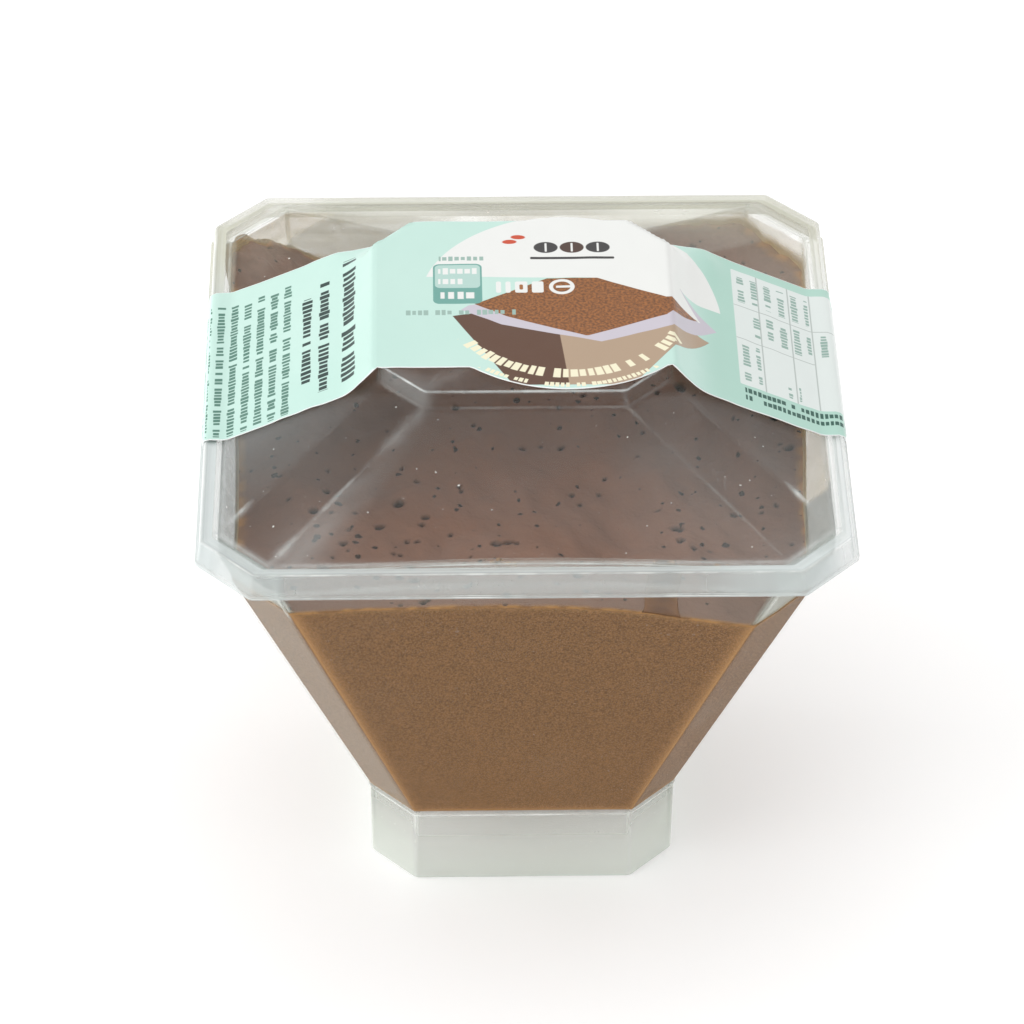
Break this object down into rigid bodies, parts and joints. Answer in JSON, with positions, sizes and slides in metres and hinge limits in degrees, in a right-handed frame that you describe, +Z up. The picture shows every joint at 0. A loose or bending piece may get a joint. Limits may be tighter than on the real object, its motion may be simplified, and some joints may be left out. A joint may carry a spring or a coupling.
{
  "type": "chocolate mousse in a clear lidded pot",
  "caption": "Frothy chocolate mousse in a clear flared square pot with cut corners, on a hollow foot, under a faceted push-on lid with a label band.",
  "frame": {"origin": "centre of the foot's rim, on the surface that the pot stands on", "axes": "+Z up through the middle of the pot, +X along the label band to the right, +Y to the back"},
  "size_m": [0.089, 0.088, 0.0869],
  "materials": {
    "cup_plastic": "clear moulded plastic, slightly milky, glossy",
    "mousse": "frothy chocolate mousse, fine bubbles, darker dried top",
    "lid_plastic": "clear thin formed plastic, slightly milky, glossy",
    "label_film": "mint green printed film with a soft gloss"
  },
  "bodies": {
    "root": {"cup": "cup_plastic", "mousse": "mousse", "lid": "lid_plastic", "label": "label_film"}
  },
  "joints": []
}
